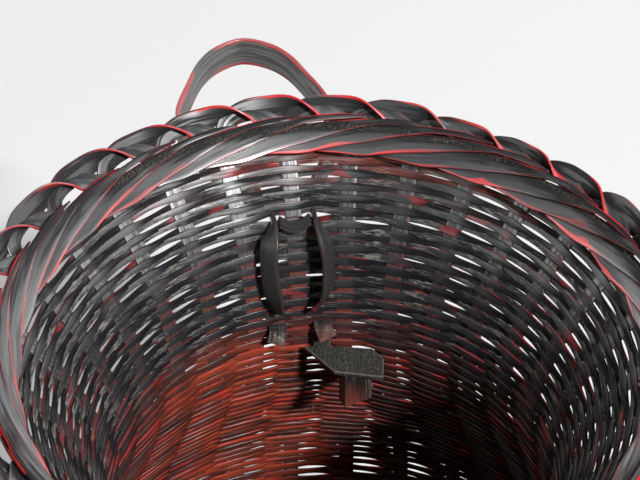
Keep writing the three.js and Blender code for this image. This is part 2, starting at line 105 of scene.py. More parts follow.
wall_end = rim_point(-RIM_LEAD, STAKE_LAYER)
knots = [(FOOT_HEIGHT, FOOT_RADIUS, FOOT_SLOPE), (BELLY_HEIGHT, BELLY_RADIUS, 0.0),
         (NECK_HEIGHT, NECK_RADIUS, 0.0), (wall_end[1], wall_end[0], math.tan(RIM_FLARE))]
profile = []
for low, high in zip(knots, knots[1:]):
    heights = np.linspace(low[0], high[0], 300, endpoint=False)
    profile.append(np.column_stack([hermite(heights, low, high), heights]))
profile.append(np.array([wall_end, rim_point(0, STAKE_LAYER), rim_point(6, STAKE_LAYER)]))
profile = np.concatenate(profile)
profile_length = np.concatenate([[0], np.cumsum(np.hypot(*np.diff(profile, axis=0).T))])
WALL_LENGTH = profile_length[-2]
print("the wall is", round(float(WALL_LENGTH), 1), "mm long")

# %% Look up places on the wall
def wall_at(length):
    return np.stack([np.interp(length, profile_length, profile[:, 0]),
                     np.interp(length, profile_length, profile[:, 1])], axis=-1)


def wall_out(length):
    """Direction out of the wall, as a radius and a height."""
    up = wall_at(length + 2.0) - wall_at(length - 2.0)
    up /= np.linalg.norm(up, axis=-1, keepdims=True)
    return np.stack([up[..., 1], -up[..., 0]], axis=-1)


def place(azimuth, flat):
    """Turns a radius and a height into a point at an azimuth, which starts at the back and turns to the right."""
    x, y = flat[..., 0] * np.sin(azimuth), flat[..., 0] * np.cos(azimuth)
    return np.stack([x, y, np.broadcast_to(flat[..., 1], np.shape(x))], axis=-1)


def half_turn(azimuth):
    """The same azimuth, given as at most half a turn to the left or to the right of the back."""
    return np.mod(azimuth + math.pi, 2 * math.pi) - math.pi


print("the wall's middle is at radius and height", wall_at(WALL_LENGTH / 2).round(1))

# %% [markdown]
# ## One strand of split bamboo
# Nearly every piece is a flat strip with a slightly crowned face and rounded edges. A curve with a bevel could make
# one, but it gives little say over how the strip twists. Here a ring of points is carried along a path with its own
# width and face directions. Each point also keeps a few plain numbers for the lacquer: how near it is to an edge,
# how dusty, brown, rubbed, dull or bare it is, and where it lies in the grain. Some of them also carry painted light:
# the dust of the wefts is partly a painted highlight, dullness also darkens the ground as painted shade, and the
# bare fibres are partly painted glints.

# %% A strand
HALF_SECTION = [(-1, -0.4), (-0.955, -0.85), (-0.9, -0.97), (-0.5, -1.0)]
SLIM_HALF = [(-1, -0.6), (-0.94, -0.95), (-0.86, -1)]
PLAIN = {"dust": 0.0, "brown": 0.0, "wear": 1.0, "dull": 0.0, "bare": 0.0}


def full_section(half):
    """Mirrors a quarter of a section into the whole ring."""
    below = half + [(-u, v) for u, v in half[::-1]]
    return np.array(below + [(-u, -v) for u, v in below])


SECTION, SLIM_SECTION = full_section(HALF_SECTION), full_section(SLIM_HALF)


def unit(v):
    return v / np.maximum(np.linalg.norm(v, axis=-1, keepdims=True), 1e-9)


def strand(path, across, face, width, thickness, section=SECTION, **numbers):
    """Points, faces and lacquer numbers of one strip. A number is the same all over, or given for each ring point."""
    rings, sides = len(path), len(section)
    u, v = section[:, 0], section[:, 1]
    width = np.broadcast_to(width, rings)
    thickness = np.broadcast_to(thickness, rings)
    points = (path[:, None] + across[:, None] * (width[:, None, None] / 2 * u[None, :, None])
              + face[:, None] * (thickness[:, None, None] / 2 * v[None, :, None]))
    along = np.concatenate([[0], np.cumsum(np.linalg.norm(np.diff(path, axis=0), axis=1))])
    seed = rng.uniform(0, 900)
    grain = np.stack([np.broadcast_to(along[:, None], (rings, sides)) + seed,
                      u[None] * width[:, None] / 2,
                      np.broadcast_to(v[None] * 0.4 + seed, (rings, sides))], axis=-1)
    i, j = np.meshgrid(np.arange(rings - 1), np.arange(sides), indexing="ij")
    k = (j + 1) % sides
    quads = np.stack([i * sides + j, i * sides + k, (i + 1) * sides + k, (i + 1) * sides + j], axis=-1)
    made = {"points": points.reshape(-1, 3), "quads": quads.reshape(-1, 4), "sides": sides,
            "grain": grain.reshape(-1, 3), "tint": np.full(rings * sides, rng.uniform())}
    for key, value in {"edge": np.abs(u)[None], **PLAIN, **numbers}.items():
        made[key] = np.broadcast_to(value, (rings, sides)).reshape(-1)
    return made


print("ring points on a strand:", len(SECTION), "and on a slim one:", len(SLIM_SECTION))

# %% The mesh of some strands
def add_number(mesh, key, values):
    mesh.attributes.new(key, "FLOAT", "POINT").data.foreach_set("value", values.astype(np.float32))


def add_grain(mesh, grain):
    places = grain.astype(np.float32).reshape(-1)
    mesh.attributes.new("grain", "FLOAT_VECTOR", "POINT").data.foreach_set("vector", places)


def new_piece(name, mesh):
    piece = bpy.data.objects.new(name, mesh)
    bpy.context.collection.objects.link(piece)
    return piece


def mesh_of(name, strands):
    """Joins strands into one mesh object, in metres, with its lacquer numbers as attributes."""
    faces, start = [], 0
    for s in strands:
        count, sides = len(s["points"]), s["sides"]
        faces += (s["quads"] + start).tolist()
        faces.append(list(range(start + sides - 1, start - 1, -1)))
        faces.append(list(range(start + count - sides, start + count)))
        start += count
    points = np.concatenate([s["points"] for s in strands]) * MM
    mesh = bpy.data.meshes.new(name)
    mesh.from_pydata(points.tolist(), [], faces)
    for key in ("edge", *PLAIN, "tint"):
        add_number(mesh, key, np.concatenate([s[key] for s in strands]))
    add_grain(mesh, np.concatenate([s["grain"] for s in strands]).astype(np.float32) * MM)
    tidy = bmesh.new()
    tidy.from_mesh(mesh)
    bmesh.ops.recalc_face_normals(tidy, faces=tidy.faces)
    tidy.to_mesh(mesh)
    tidy.free()
    mesh.polygons.foreach_set("use_smooth", np.ones(len(mesh.polygons), bool))
    return new_piece(name, mesh)


print("numbers on each point: edge,", ", ".join(PLAIN), "and tint")

# %% [markdown]
# ## The lacquer
# Black lacquer lies over red. Where an edge is rubbed, the red shows as a broken line; in hollows the gloss is lost
# under grey-yellow dust; inside the belly the coat is thin and the bamboo shows red-brown. One recipe makes all six
# finishes: a noise that is stretched along the grain gives fibres, a broad noise breaks the worn line, and a fine
# one gives specks of dust. Values that are the same all over are set on the shader itself.

# %% Short ways to add shader nodes
def add(tree, kind, settings=None, **inputs):
    """Adds a node. An input is named, or given as i and its place; a socket is linked and a value is set."""
    node = tree.nodes.new(kind)
    for key, value in (settings or {}).items():
        setattr(node, key, value)
    for key, value in inputs.items():
        socket = node.inputs[int(key[1:])] if key[0] == "i" and key[1:].isdigit() else node.inputs[key]
        if isinstance(value, bpy.types.NodeSocket):
            tree.links.new(value, socket)
        else:
            socket.default_value = value
    return node


def number(tree, name):
    return add(tree, "ShaderNodeAttribute", {"attribute_name": name}).outputs["Fac"]


def calc(tree, operation, a, b):
    return add(tree, "ShaderNodeMath", {"operation": operation}, i0=a, i1=b).outputs[0]


def times(tree, a, b):
    return calc(tree, "MULTIPLY", a, b)


def plus(tree, a, b):
    return calc(tree, "ADD", a, b)


def minus(tree, a, b):
    return calc(tree, "SUBTRACT", a, b)


def fade(tree, value, low, high):
    """0 below low, 1 above high, and smooth between."""
    node = add(tree, "ShaderNodeMapRange", {"interpolation_type": "SMOOTHSTEP"}, i0=value)
    node.inputs[1].default_value, node.inputs[2].default_value = low, high
    return node.outputs[0]


def blend_colour(tree, share, a, b):
    node = add(tree, "ShaderNodeMix", {"data_type": "RGBA"}, i0=share)
    for socket, value in ((node.inputs[6], a), (node.inputs[7], b)):
        if isinstance(value, bpy.types.NodeSocket):
            tree.links.new(value, socket)
        else:
            socket.default_value = (*value, 1)
    return node.outputs[2]


def grain_noise(tree, stretch, detail=3.0):
    """Noise in the strand's own grain; stretch gives how many features a metre has along, across and through."""
    grain = add(tree, "ShaderNodeAttribute", {"attribute_name": "grain"}).outputs["Vector"]
    scaled = add(tree, "ShaderNodeVectorMath", {"operation": "MULTIPLY"}, i0=grain, i1=stretch).outputs[0]
    return add(tree, "ShaderNodeTexNoise", Vector=scaled, Scale=1.0, Detail=detail, Roughness=0.6).outputs[0]


print("node helpers ready")

# %% [markdown]
# The colour is laid in layers, in the order in which time did the real ones: the black ground, which varies from
# strand to strand and is darkened as painted shade where a strand is dull, then bare fibres, which are partly painted
# glints, thin brown lacquer, the rubbed red edge and last the dust, which on the wefts is also a painted highlight.
# Each layer is a mix whose share comes from a number of the strand times a noise, so no two places wear alike.

# %% The colour of the lacquer
RED = (0.42, 0.017, 0.019)
DUST = (0.125, 0.118, 0.096)
# The light colour of bare fibres, which also serves for painted glints.
BARE_AND_GLINT = (0.15, 0.143, 0.138)
FINE_SPECKS = (2300, 2900, 2900)
WORN_FADE = 0.06


def toned(colour, share):
    return [share * c for c in colour]


def black_ground(tree, black, brown, fibres, patches):
    """The coat itself, darkened where a strand is dull and in painted shade, with bare fibres, their painted glints
    and thin brown places. Also gives how thin it is.
    """
    shade = plus(tree, number(tree, "tint"), times(tree, fibres, 0.8))
    ground = blend_colour(tree, times(tree, shade, 0.6), toned(black, 0.6), toned(black, 1.5))
    # Painted shade: where a strand is dull its black ground is darkened; this stands for shade inside the arches,
    # under the older ribbons, on the weft rows that pass outward and on the tie.
    ground = blend_colour(tree, times(tree, number(tree, "dull"), 0.75), ground, toned(black, 0.3))
    # Painted highlight: the light lines along bare fibres stand partly for glints of the lamp, most high on the wall
    # at the left.
    hatch_and_glint = times(tree, number(tree, "bare"), fade(tree, fibres, 0.48, 0.66))
    hatch_and_glint = times(tree, hatch_and_glint, minus(tree, 1.0, number(tree, "brown")))
    ground = blend_colour(tree, times(tree, hatch_and_glint, 0.7), ground, BARE_AND_GLINT)
    thin = times(tree, number(tree, "brown"), fade(tree, plus(tree, patches, fibres), 0.68, 1.18))
    return blend_colour(tree, thin, ground, brown), thin


def rubbed_edges(tree, worn_from, patches):
    """Where the black is rubbed off: near an edge, in a line that the broad noise breaks."""
    broken = times(tree, minus(tree, patches, 0.5), 1.3)
    rubbed = fade(tree, plus(tree, number(tree, "edge"), broken), worn_from, worn_from + WORN_FADE)
    return times(tree, rubbed, number(tree, "wear"))


def lying_dust_and_highlight(tree, specks, streaks):
    lying = plus(tree, times(tree, number(tree, "dust"), 0.25), times(tree, streaks, 0.3))
    return times(tree, fade(tree, plus(tree, specks, lying), 0.77, 0.97), number(tree, "dust"))


print("layers of colour: ground, bare fibres, thin brown, rubbed edge, dust")

# %% The gloss of the lacquer
COAT_ROUGHNESS = 0.34
BUMP_DEPTH = 0.0004


def lost_gloss(tree, streaks, thin, dusty):
    """The gloss goes in streaks, and is lost where the strand is dull, thin or dusty."""
    lost = plus(tree, number(tree, "dull"), times(tree, fade(tree, streaks, 0.44, 0.6), 0.75))
    lost = plus(tree, lost, times(tree, thin, 0.45))
    return calc(tree, "MINIMUM", plus(tree, lost, times(tree, dusty, 0.6)), 1.0)


def lay_gloss(tree, shader, lost, fibres, patches, roughness, coat):
    kept = times(tree, minus(tree, 1.0, lost), plus(tree, fibres, 0.5))
    tree.links.new(plus(tree, times(tree, kept, 0.8), 0.05), shader.inputs["Specular IOR Level"])
    tree.links.new(times(tree, kept, coat), shader.inputs["Coat Weight"])
    matt = plus(tree, times(tree, patches, 0.16), times(tree, lost, 0.2))
    matt = plus(tree, matt, times(tree, minus(tree, number(tree, "tint"), 0.5), 0.14))
    tree.links.new(plus(tree, matt, roughness - 0.1), shader.inputs["Roughness"])


def lay_relief(tree, shader, fibres, dusty, strength):
    split = times(tree, fibres, plus(tree, times(tree, number(tree, "bare"), 6.0), 1.0))
    relief = plus(tree, split, times(tree, dusty, 0.5))
    bump = add(tree, "ShaderNodeBump", Height=relief, Strength=strength, Distance=BUMP_DEPTH)
    tree.links.new(bump.outputs[0], shader.inputs["Normal"])


print("coat roughness:", COAT_ROUGHNESS)

# %% [markdown]
# The strands differ in how they were used more than in how they were coated. The stakes are glossy and rubbed; the
# wefts are dull, with coarser light dust that is also a painted highlight; the loop is greyer; the keeper and wedges
# are nearly bare. Six recipes would be hard to keep alike, so one function is called six times with its own colours.

# %% Six finishes
def lacquer(name, black, brown, worn_from, roughness, fibre=0.12, red=RED, dust=DUST, coat=0.25, speck=FINE_SPECKS):
    """One finish. worn_from says how near to an edge the red starts, and fibre how deep the fibres are."""
    material = bpy.data.materials.new(name)
    material.use_nodes = True
    tree = material.node_tree
    shader = tree.nodes["Principled BSDF"]
    shader.inputs["Coat Roughness"].default_value = COAT_ROUGHNESS
    fibres = grain_noise(tree, (45, 1500, 900))
    patches = grain_noise(tree, (38, 70, 30), 2.0)
    streaks = grain_noise(tree, (26, 380, 60))
    dusty = lying_dust_and_highlight(tree, grain_noise(tree, speck), streaks)
    ground, thin = black_ground(tree, black, brown, fibres, patches)
    colour = blend_colour(tree, rubbed_edges(tree, worn_from, patches), ground, red)
    tree.links.new(blend_colour(tree, dusty, colour, dust), shader.inputs["Base Color"])
    lay_gloss(tree, shader, lost_gloss(tree, streaks, thin, dusty), fibres, patches, roughness, coat)
    lay_relief(tree, shader, fibres, dusty, fibre)
    return material


finishes = {
    "stake_lacquer": lacquer("stake_lacquer", (0.021, 0.021, 0.0232), (0.19, 0.032, 0.016), 0.84, 0.4, coat=1.0),
    # The wefts' light dust colour is also their painted highlight.
    "weft_lacquer": lacquer("weft_lacquer", (0.0125, 0.0128, 0.0145), (0.3, 0.045, 0.02), 1.04, 0.4, 0.2,
                            dust=(0.165, 0.157, 0.143), speck=(330, 1900, 1900)),
    "foot_lacquer": lacquer("foot_lacquer", (0.014, 0.013, 0.0135), (0.1, 0.03, 0.02), 0.9, 0.38),
    "base_bamboo": lacquer("base_bamboo", (0.03, 0.016, 0.013), (0.16, 0.036, 0.022), 0.93, 0.5, 0.25),
    "loop_lacquer": lacquer("loop_lacquer", (0.042, 0.041, 0.041), (0.1, 0.045, 0.038), 0.8, 0.4, 0.3,
                            red=(0.3, 0.018, 0.02)),
    # On the keeper pieces the edge line along the bevels is pale grey-buff, not red.
    "keeper_bamboo": lacquer("keeper_bamboo", (0.012, 0.012, 0.012), (0.22, 0.045, 0.024), 0.85, 0.5, 0.4,
                             red=(0.14, 0.11, 0.09), dust=(0.135, 0.131, 0.11)),
}


def dress(piece, slot, *nodes):
    """Gives a piece its finish, and lets it stand for its solids."""
    piece.data.materials.append(finishes[slot])
    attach(piece, "root")
    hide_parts(*nodes)


print("finishes:", ", ".join(finishes))

# %% [markdown]
# ## Stakes and the plaited rim
# This is the piece that takes a maker's skill. Each stake climbs the wall, leans over its neighbour in an arch,
# rolls over at the arch's crest, dives behind the plait, turns at the inner edge of the mouth and comes back up as
# one long ribbon of the rim's face. So the upper edge of the arch becomes the lower edge of the ribbon. All 29 do
# the same, one step apart, so one path is enough: a smooth curve through a short list of places, given as steps
# round the rim, height up its slope, depth and lean.

# %% Ramps, a hill and a smooth curve
def ramp_up(x, start, span):
    """0 up to the start, 1 after the span, and straight between."""
    return np.clip((x - start) / span, 0, 1)


def ramp_down(x, end, span):
    """1 until one span before the end, 0 from the end on, and straight between."""
    return np.clip((end - x) / span, 0, 1)


def hill(x, top, breadth):
    """1 at the top, and falling away smoothly on both sides."""
    return np.exp(-((x - top) / breadth) ** 2)


def smooth_through(keys, spacing):
    """Points about one spacing apart on a smooth curve that passes through every key."""
    keys = np.asarray(keys, float)
    gaps = np.linalg.norm(np.diff(keys[:, :3], axis=0), axis=1)
    t = np.concatenate([[0], np.cumsum(np.sqrt(gaps))])
    slope = np.diff(keys, axis=0) / np.diff(t)[:, None]
    before, after = np.diff(t)[:-1, None], np.diff(t)[1:, None]
    middle = (slope[:-1] * after + slope[1:] * before) / (before + after)
    tangent = np.concatenate([slope[:1], middle, slope[-1:]])
    made = []
    for i, gap in enumerate(gaps):
        f = np.linspace(0, 1, max(2, int(math.ceil(gap / spacing))), endpoint=False)[:, None]
        h = t[i + 1] - t[i]
        made.append((1 + 2 * f) * (1 - f) ** 2 * keys[i] + f * (1 - f) ** 2 * h * tangent[i]
                    + f * f * (3 - 2 * f) * keys[i + 1] + f * f * (f - 1) * h * tangent[i + 1])
    return np.concatenate(made + [keys[-1:]])


print("a curve through three places has", len(smooth_through([(0, 0, 0), (4, 3, 0), (8, 0, 0)], 1.0)), "points")

# %% The rim's path
FACE_LOW = -5.7
RIBBON_START = 2.75
RIBBON_TAIL = 0.9
TURNED_OVER = -math.pi
ARCH_BROADER, BLADE_SLIMMER = 0.16, 0.5
RIM_SPACING = 1.1
step_length = RIM_RADIUS * STEP


def shares(steps):
    """Shares of the full width: the arch is a little broader, and the ribbon starts as a slim blade."""
    arch_share = 1 + ARCH_BROADER * ramp_up(steps, 0.15, 0.3) * ramp_down(steps, 1.5, 0.35)
    blade = ramp_up(steps, 2.55, 0.8)
    ribbon_share = 1 - BLADE_SLIMMER * ramp_up(steps, 2.0, 0.4) * (1 - blade * blade * (3 - 2 * blade))
    return arch_share, ribbon_share


def rim_curve(arch, rise, shift, tilt):
    """The rim's path: distance round it, height up its slope, depth and lean. A hand never makes two alike."""
    low, over = FACE_LOW + shift, TURNED_OVER
    climbing = [(0, -RIM_LEAD, 0, 0), (0, -7, 0, 0), (0, -2.5, 0, 0), (0.03, 2.4, 0, 0),
                (0.15, 0.72 * arch, 0, 0), (0.4, 0.96 * arch, 0.2, 0), (0.8, arch, 0.4, 0.03 * over),
                (1.05, arch, 0.8, 0.16 * over), (1.26, 0.98 * arch, 1.0, 0.4 * over)]
    diving = [(1.46, 0.88 * arch, -0.6, 0.66 * over), (1.64, 0.67 * arch, -0.4, 0.86 * over),
              (1.82, 0.43 * arch, -0.2, 0.95 * over), (2.0, 0.2 * arch, 0, over),
              (2.25, low + 2, 0.2, over + 0.5 * tilt), (2.44, low + 0.4, 1, over + tilt)]
    keys = [(s, up, STAKE_LAYER + layer, lean) for s, up, layer, lean in climbing]
    keys += [(s, up, DIVE_LAYER + layer, lean) for s, up, layer, lean in diving]
    keys.append((2.62, low - 0.2, -0.45, over + tilt))
    keys += [(RIBBON_START + s, low + s * rise, 0, over + tilt) for s in (0.1, 0.7, 1.4, 2.1, RIBBON_STEPS)]
    end, top = RIBBON_START + RIBBON_STEPS, low + RIBBON_STEPS * rise
    keys.append((end + 0.5 * RIBBON_TAIL, top + 0.9, -0.1, over + tilt))
    keys.append((end + RIBBON_TAIL, top + 1.2, -1, over + tilt))
    curve = smooth_through([(s * step_length, up, layer, lean) for s, up, layer, lean in keys], RIM_SPACING)
    arch_share, ribbon_share = shares(curve[:, 0] / step_length)
    curve[:, 1] += RIBBON_WIDTH / 2 * (1 - ribbon_share - 0.6 * (arch_share - 1))
    return curve


print("points on the rim's path:", len(rim_curve(ARCH_HEIGHT, RIBBON_RISE, 0, SHINGLE_TILT)))

# %% The run of one stake
ARCH_SHARE = 0.98
ARCH_DIP, LEFT_LIFT = 0.36, 0.12  # the arches are drawn lower on the right, and stand higher on the left
FACE_BROADER = 2.0  # the face of the plait is broader near the back
RIBBON_STEEPER = 1.22
wall_lengths = np.arange(0, WALL_LENGTH - RIM_LEAD - 1, 3.0)
foot = np.array([[FOOT_RADIUS, 2 * CLEARANCE], [FOOT_RADIUS, FOOT_HEIGHT * 0.5]])
before_rim = np.zeros(len(foot) + len(wall_lengths))


def stake_run(k):
    """Where a stake is, ring by ring: steps round the rim, azimuth, radius and height, height up the rim, lean."""
    middle = math.remainder(FIRST_STAKE + (k + 1) * STEP, 2 * math.pi)
    dip = ARCH_DIP * hill(middle, 0.66, 0.38) - LEFT_LIFT * hill(middle, -1.1, 0.5)
    lower = FACE_BROADER * hill(middle, 0.2, 0.45)
    arch = ARCH_HEIGHT * (ARCH_SHARE - dip + rng.uniform(-0.04, 0.04))
    shift = rng.uniform(-0.35, 0.35) - lower
    rise = RIBBON_STEEPER * RIBBON_RISE + lower / RIBBON_STEPS
    curve = rim_curve(arch, rise, shift, SHINGLE_TILT * rng.uniform(0.75, 1.15))
    steps = np.concatenate([before_rim, curve[:, 0] / step_length])
    return {"middle": middle, "steps": steps, "azimuth": half_turn(FIRST_STAKE + (k + steps) * STEP),
            "flat": np.concatenate([foot, wall_at(wall_lengths), rim_point(curve[:, 1], curve[:, 2])]),
            "up": np.concatenate([before_rim, curve[:, 1]]),
            "tilt": np.concatenate([before_rim, curve[:, 3]])[:, None]}


print("rings on a stake before the rim:", len(before_rim))

# %% The width and the faces of a stake
TIP_NARROWER, TIP_LENGTH = 0.68, 0.4


def stake_width(steps):
    """A stake is narrow on the wall, broad in its arch, and pared down to the tip of its ribbon."""
    broad = RIBBON_WIDTH * rng.uniform(0.95, 1.05)
    width = STAKE_WIDTH + (broad - STAKE_WIDTH) * ramp_up(steps, 0, 0.5)
    arch_share, ribbon_share = shares(steps)
    pared = 1 - TIP_NARROWER * ramp_up(steps, RIBBON_START + 1.5, 1.1)
    left_over = steps[-1] - steps
    return width * arch_share * ribbon_share * pared * np.where(left_over < TIP_LENGTH, 0.3 + 1.75 * left_over, 1)


def stake_frame(run):
    """A stake's middle line, and which way its width and its inner face point along it."""
    azimuth, flat, tilt = run["azimuth"], run["flat"], run["tilt"]
    path = place(azimuth, flat)
    tangent = unit(np.gradient(path, axis=0))
    lengths = np.clip(np.interp(flat[:, 1], profile[:, 1], profile_length), 0, WALL_LENGTH)
    inward = place(azimuth, np.where((run["steps"] > 0)[:, None], INWARD, -wall_out(lengths)))
    side = unit(np.cross(inward, tangent))
    face = unit(np.cross(tangent, side))
    return path, side * np.cos(tilt) - face * np.sin(tilt), face * np.cos(tilt) + side * np.sin(tilt)


print("a ribbon's tip is narrower by", TIP_NARROWER, "of its width")

# %% [markdown]
# Wear tells where a hand has been. The rolled edge at each crest and the lower edge of each ribbon are rubbed red,
# dust lies in a band where the ribbons overlap, and low on the wall the black has worn thin. Painted light is laid
# in the same way: the inside of each arch and the upper part of each ribbon, under the older one, are darkened as
# painted shade; light fibre lines high on the left of the wall are painted glints; and the red-brown low on the wall
# is strongest where the lamp lights it and weak on the shaded right. These are plain sums of ramps and hills along
# the strand, so that a place is easy to find and to change.

# %% The parts of a stake
u, v = SECTION[:, 0][None], SECTION[:, 1][None]
inner_face = (v > 0.5) * 1.0


def brown_where_lit(azimuth):
    """How much red-brown shows inside: most at the left of the loop, where the lamp lights the wall, and little on
    the shaded right, so it is partly painted light.
    """
    return 0.2 + 0.8 * hill(half_turn(azimuth + 0.4), 0, 0.6)


def stake_parts(run):
    """Shares of being on the wall, in the arch and in the ribbon, and of being on the left."""
    steps = run["steps"][:, None]
    in_ribbon = ramp_up(steps, 2.45, 0.3)
    in_arch = ramp_up(steps, 0, 0.2) * (1 - in_ribbon)
    left = ramp_down(run["azimuth"], -0.35, 0.3)[:, None]
    return 1 - ramp_up(steps, 0, 0.1), in_arch, in_ribbon, left


print("stain at the back and at the front:", brown_where_lit(0.0).round(2), brown_where_lit(math.pi).round(2))

# %% The lacquer numbers of a stake
BROWN_TOP, BARE_AND_GLINT_FROM, WALL_FADE = 236, 234, 14  # heights on the wall, and the length of their fade


def stake_numbers(run, width):
    """The lacquer numbers of one stake, for each ring point."""
    on_wall, in_arch, in_ribbon, left = stake_parts(run)
    steps, azimuth, height = run["steps"][:, None], run["azimuth"][:, None], run["flat"][:, 1][:, None]
    up_slope = run["up"][:, None] + u * width[:, None] / 2 * np.cos(run["tilt"])
    far_left = ramp_down(azimuth, -0.75, 0.35)
    dusty_band = in_ribbon * hill(up_slope, 2.4, 2.2) * (1 - 0.75 * far_left)
    inside_arch = in_arch * inner_face
    tail_end = ramp_up(steps, RIBBON_START + 2.0, 0.6)

    fresh = ramp_down(steps, RIBBON_START + 1.6, 0.8)
    crest = ramp_up(steps, 0.5 + 0.4 * left, 0.3)
    rubbed_arch = (0.05 + (0.8 - 0.3 * left) * crest) * in_arch
    rubbed_ribbon = rng.choice([0.45, 0.9, 1.0]) * (0.35 + 0.65 * fresh) * in_ribbon
    wear = np.where(u > 0, rubbed_arch + rubbed_ribbon, 0.08 + 0.8 * tail_end)

    low_down = np.maximum(ramp_down(height, BROWN_TOP, WALL_FADE), 0.03)
    # Partly painted light: the red-brown low on the wall is weighted by where the lamp lights it.
    brown = on_wall * (0.35 + 0.65 * inner_face) * low_down * rng.uniform(0.6, 1.0) * brown_where_lit(azimuth)
    high = ramp_up(height, BARE_AND_GLINT_FROM, WALL_FADE)
    older = ramp_up(steps, RIBBON_START + 0.9, 1.0)
    # Painted shade: the ground is darkened inside each arch, and in each ribbon towards its upper edge, where it lies
    # under the older ribbon.
    dull = 0.55 * inside_arch + on_wall * (0.3 - 0.5 * high) + np.maximum(dusty_band, 0.5 * tail_end)
    dull = dull + in_ribbon * (0.6 * np.clip(-u, 0, 1) + 0.3 * older - 0.3)
    # Painted highlight: the bare fibres high on the wall are strongest at the left of the loop, where the lamp glints
    # on them.
    return {"dust": 0.6 * dusty_band + 0.3 * inside_arch + 0.3 * on_wall, "brown": brown, "wear": wear, "dull": dull,
            "bare": on_wall * (0.12 + high * (0.3 + 0.6 * hill(azimuth, -0.45, 0.5)))}


def rubbed_places(run):
    """Moves the rubbed line in from the edge: at the arch's turn, most on the right, and at one patch."""
    _, in_arch, in_ribbon, left = stake_parts(run)
    steps, upper = run["steps"][:, None], u > 0
    right = hill(run["middle"], 0.7, 0.6)
    turn = rng.uniform(0, 0.3 + 0.45 * right) * hill(steps, 1.45, 0.25)
    patch_at = RIBBON_START + rng.uniform(0.2, 1.5)
    patch = rng.uniform(-0.1, 0.4) * hill(steps, patch_at, 0.22)
    return (turn + patch + 0.07 * in_ribbon) * upper - (0.03 + 0.07 * left) * in_arch


print("brown below", BROWN_TOP, "mm, and bare fibres above", BARE_AND_GLINT_FROM, "mm")

# %% Build the stakes
for k in range(STAKE_COUNT):
    run = stake_run(k)
    width = stake_width(run["steps"])
    made = strand(*stake_frame(run), width, STAKE_THICKNESS, **stake_numbers(run, width))
    made["edge"] = made["edge"] + rubbed_places(run).reshape(-1)
    name = f"stake_{k + 1:02d}"
    dress(mesh_of(f"bamboo_{name}", [made]), "stake_lacquer", name)
print("stakes:", STAKE_COUNT, "with", len(run["steps"]), "rings each")

# %% [markdown]
# ## The wefts
# One thin split runs round and round, inside one stake and outside the next, in rows about two millimetres apart.
# The stakes are odd in number, so each row falls the other way round from the one below. That is what makes the
# pattern of short bars, and it is also what leaves the small slits where light shines through. The solids carry a
# few broad turns for this; here every row is its own strip, so the slits are real openings.

# %% Wind the weft
ROW_PITCH = 2.22
WEFT_WIDTH, WEFT_THICKNESS = 2.3, 0.9
WEAVE_DEPTH = 0.62
WEFT_TURNS = 21
WALL_START = 1.5
WALL_STOP = WALL_LENGTH - 0.5 * RIBBON_WIDTH - 5
TURN_PITCH = (WALL_STOP - WALL_START) / WEFT_TURNS
LAST_ROW = WALL_LENGTH - 0.8
SAMPLES = 7  # points from one stake to the next
rows = int((LAST_ROW - WALL_START) / ROW_PITCH)
count = rows * STAKE_COUNT * SAMPLES
past = np.arange(count) / SAMPLES  # how many stakes the weft has passed


def wander(period, size):
    """A slow random wave along the weft, for the small unevenness of hand weaving. A period is in stakes."""
    marks = rng.normal(0, size, count // (period * SAMPLES) + 4)
    x = np.arange(count) / (period * SAMPLES)
    f = x - np.floor(x)
    i = x.astype(int)
    f = f * f * (3 - 2 * f)
    return marks[i] * (1 - f) + marks[i + 1] * f


even_length = WALL_START + ROW_PITCH * (0.5 + past / STAKE_COUNT)
length = even_length + wander(5, 0.11)
swing = np.clip(1.12 * np.cos(math.pi * past), -1, 1) * WEAVE_DEPTH + wander(4, 0.05)
wave = np.sin(math.pi * past)
azimuth = FIRST_STAKE + past * STEP
start_height = wall_at(length)[:, 1]
high_up = ramp_up(start_height, 200, 30)
print("rows of weft:", rows, "with", count, "points in all")

# %% [markdown]
# A row that passes outward between two stakes sags a little, and the row above it is pushed up: a slit opens. Chance
# decides where, with better odds at the two sides of the mouth and low at the back, where the real weave is loose.
# The rows also part where the loop passes through the wall.

# %% Open the slits
SLIT = 0.98
LOOSE_TOP, LOOSE_FOOT = 212, 70
gap = past.astype(int)
gap_turn = half_turn(azimuth[::SAMPLES] + 0.5 * STEP)
gap_side = ramp_up(np.abs(gap_turn), 0.2, 0.4)
gap_height = start_height[::SAMPLES]
gap_low = ramp_down(gap_height, LOOSE_TOP, 20) * ramp_up(gap_height, LOOSE_FOOT, 30) * hill(gap_turn, 0.1, 0.36)
chance = 0.08 + (0.08 + 0.62 * gap_side) * high_up[::SAMPLES] + 0.8 * gap_low
slits = (rng.uniform(size=len(chance)) < chance) * rng.uniform(0.4, 1.25, len(chance))
slits = slits * np.where(gap_turn > 0.3, 0.75, 1) * (1 + 0.9 * gap_low)
opened = np.abs(wave) * slits[np.maximum(np.where(wave < 0, gap, gap - STAKE_COUNT), 0)]
length = length + np.sign(wave) * 0.5 * SLIT * opened
print("slits:", int((slits > 0).sum()), "in", len(slits), "gaps")

# %% Part the rows at the loop
LOOP_HALF_GAP = 7.3
PARTED, PARTED_REACH = 1.3, 5.0


def turn_length(turn):
    """Length along the wall of the middle of one of the broad turns of the solids."""
    return WALL_START + TURN_PITCH * (0.5 + turn)


LOOP_LENGTH = turn_length(WEFT_TURNS - 2)
from_stake = half_turn(azimuth - FIRST_STAKE) * wall_at(length)[:, 0]
for side in (-1, 1):
    near = hill(from_stake, side * LOOP_HALF_GAP, PARTED_REACH)
    above = length - LOOP_LENGTH
    length = length + near * np.sign(above) * PARTED * np.exp(-np.abs(above) / PARTED_REACH)
print("the loop passes the wall", round(float(LOOP_LENGTH), 1), "mm up its line")

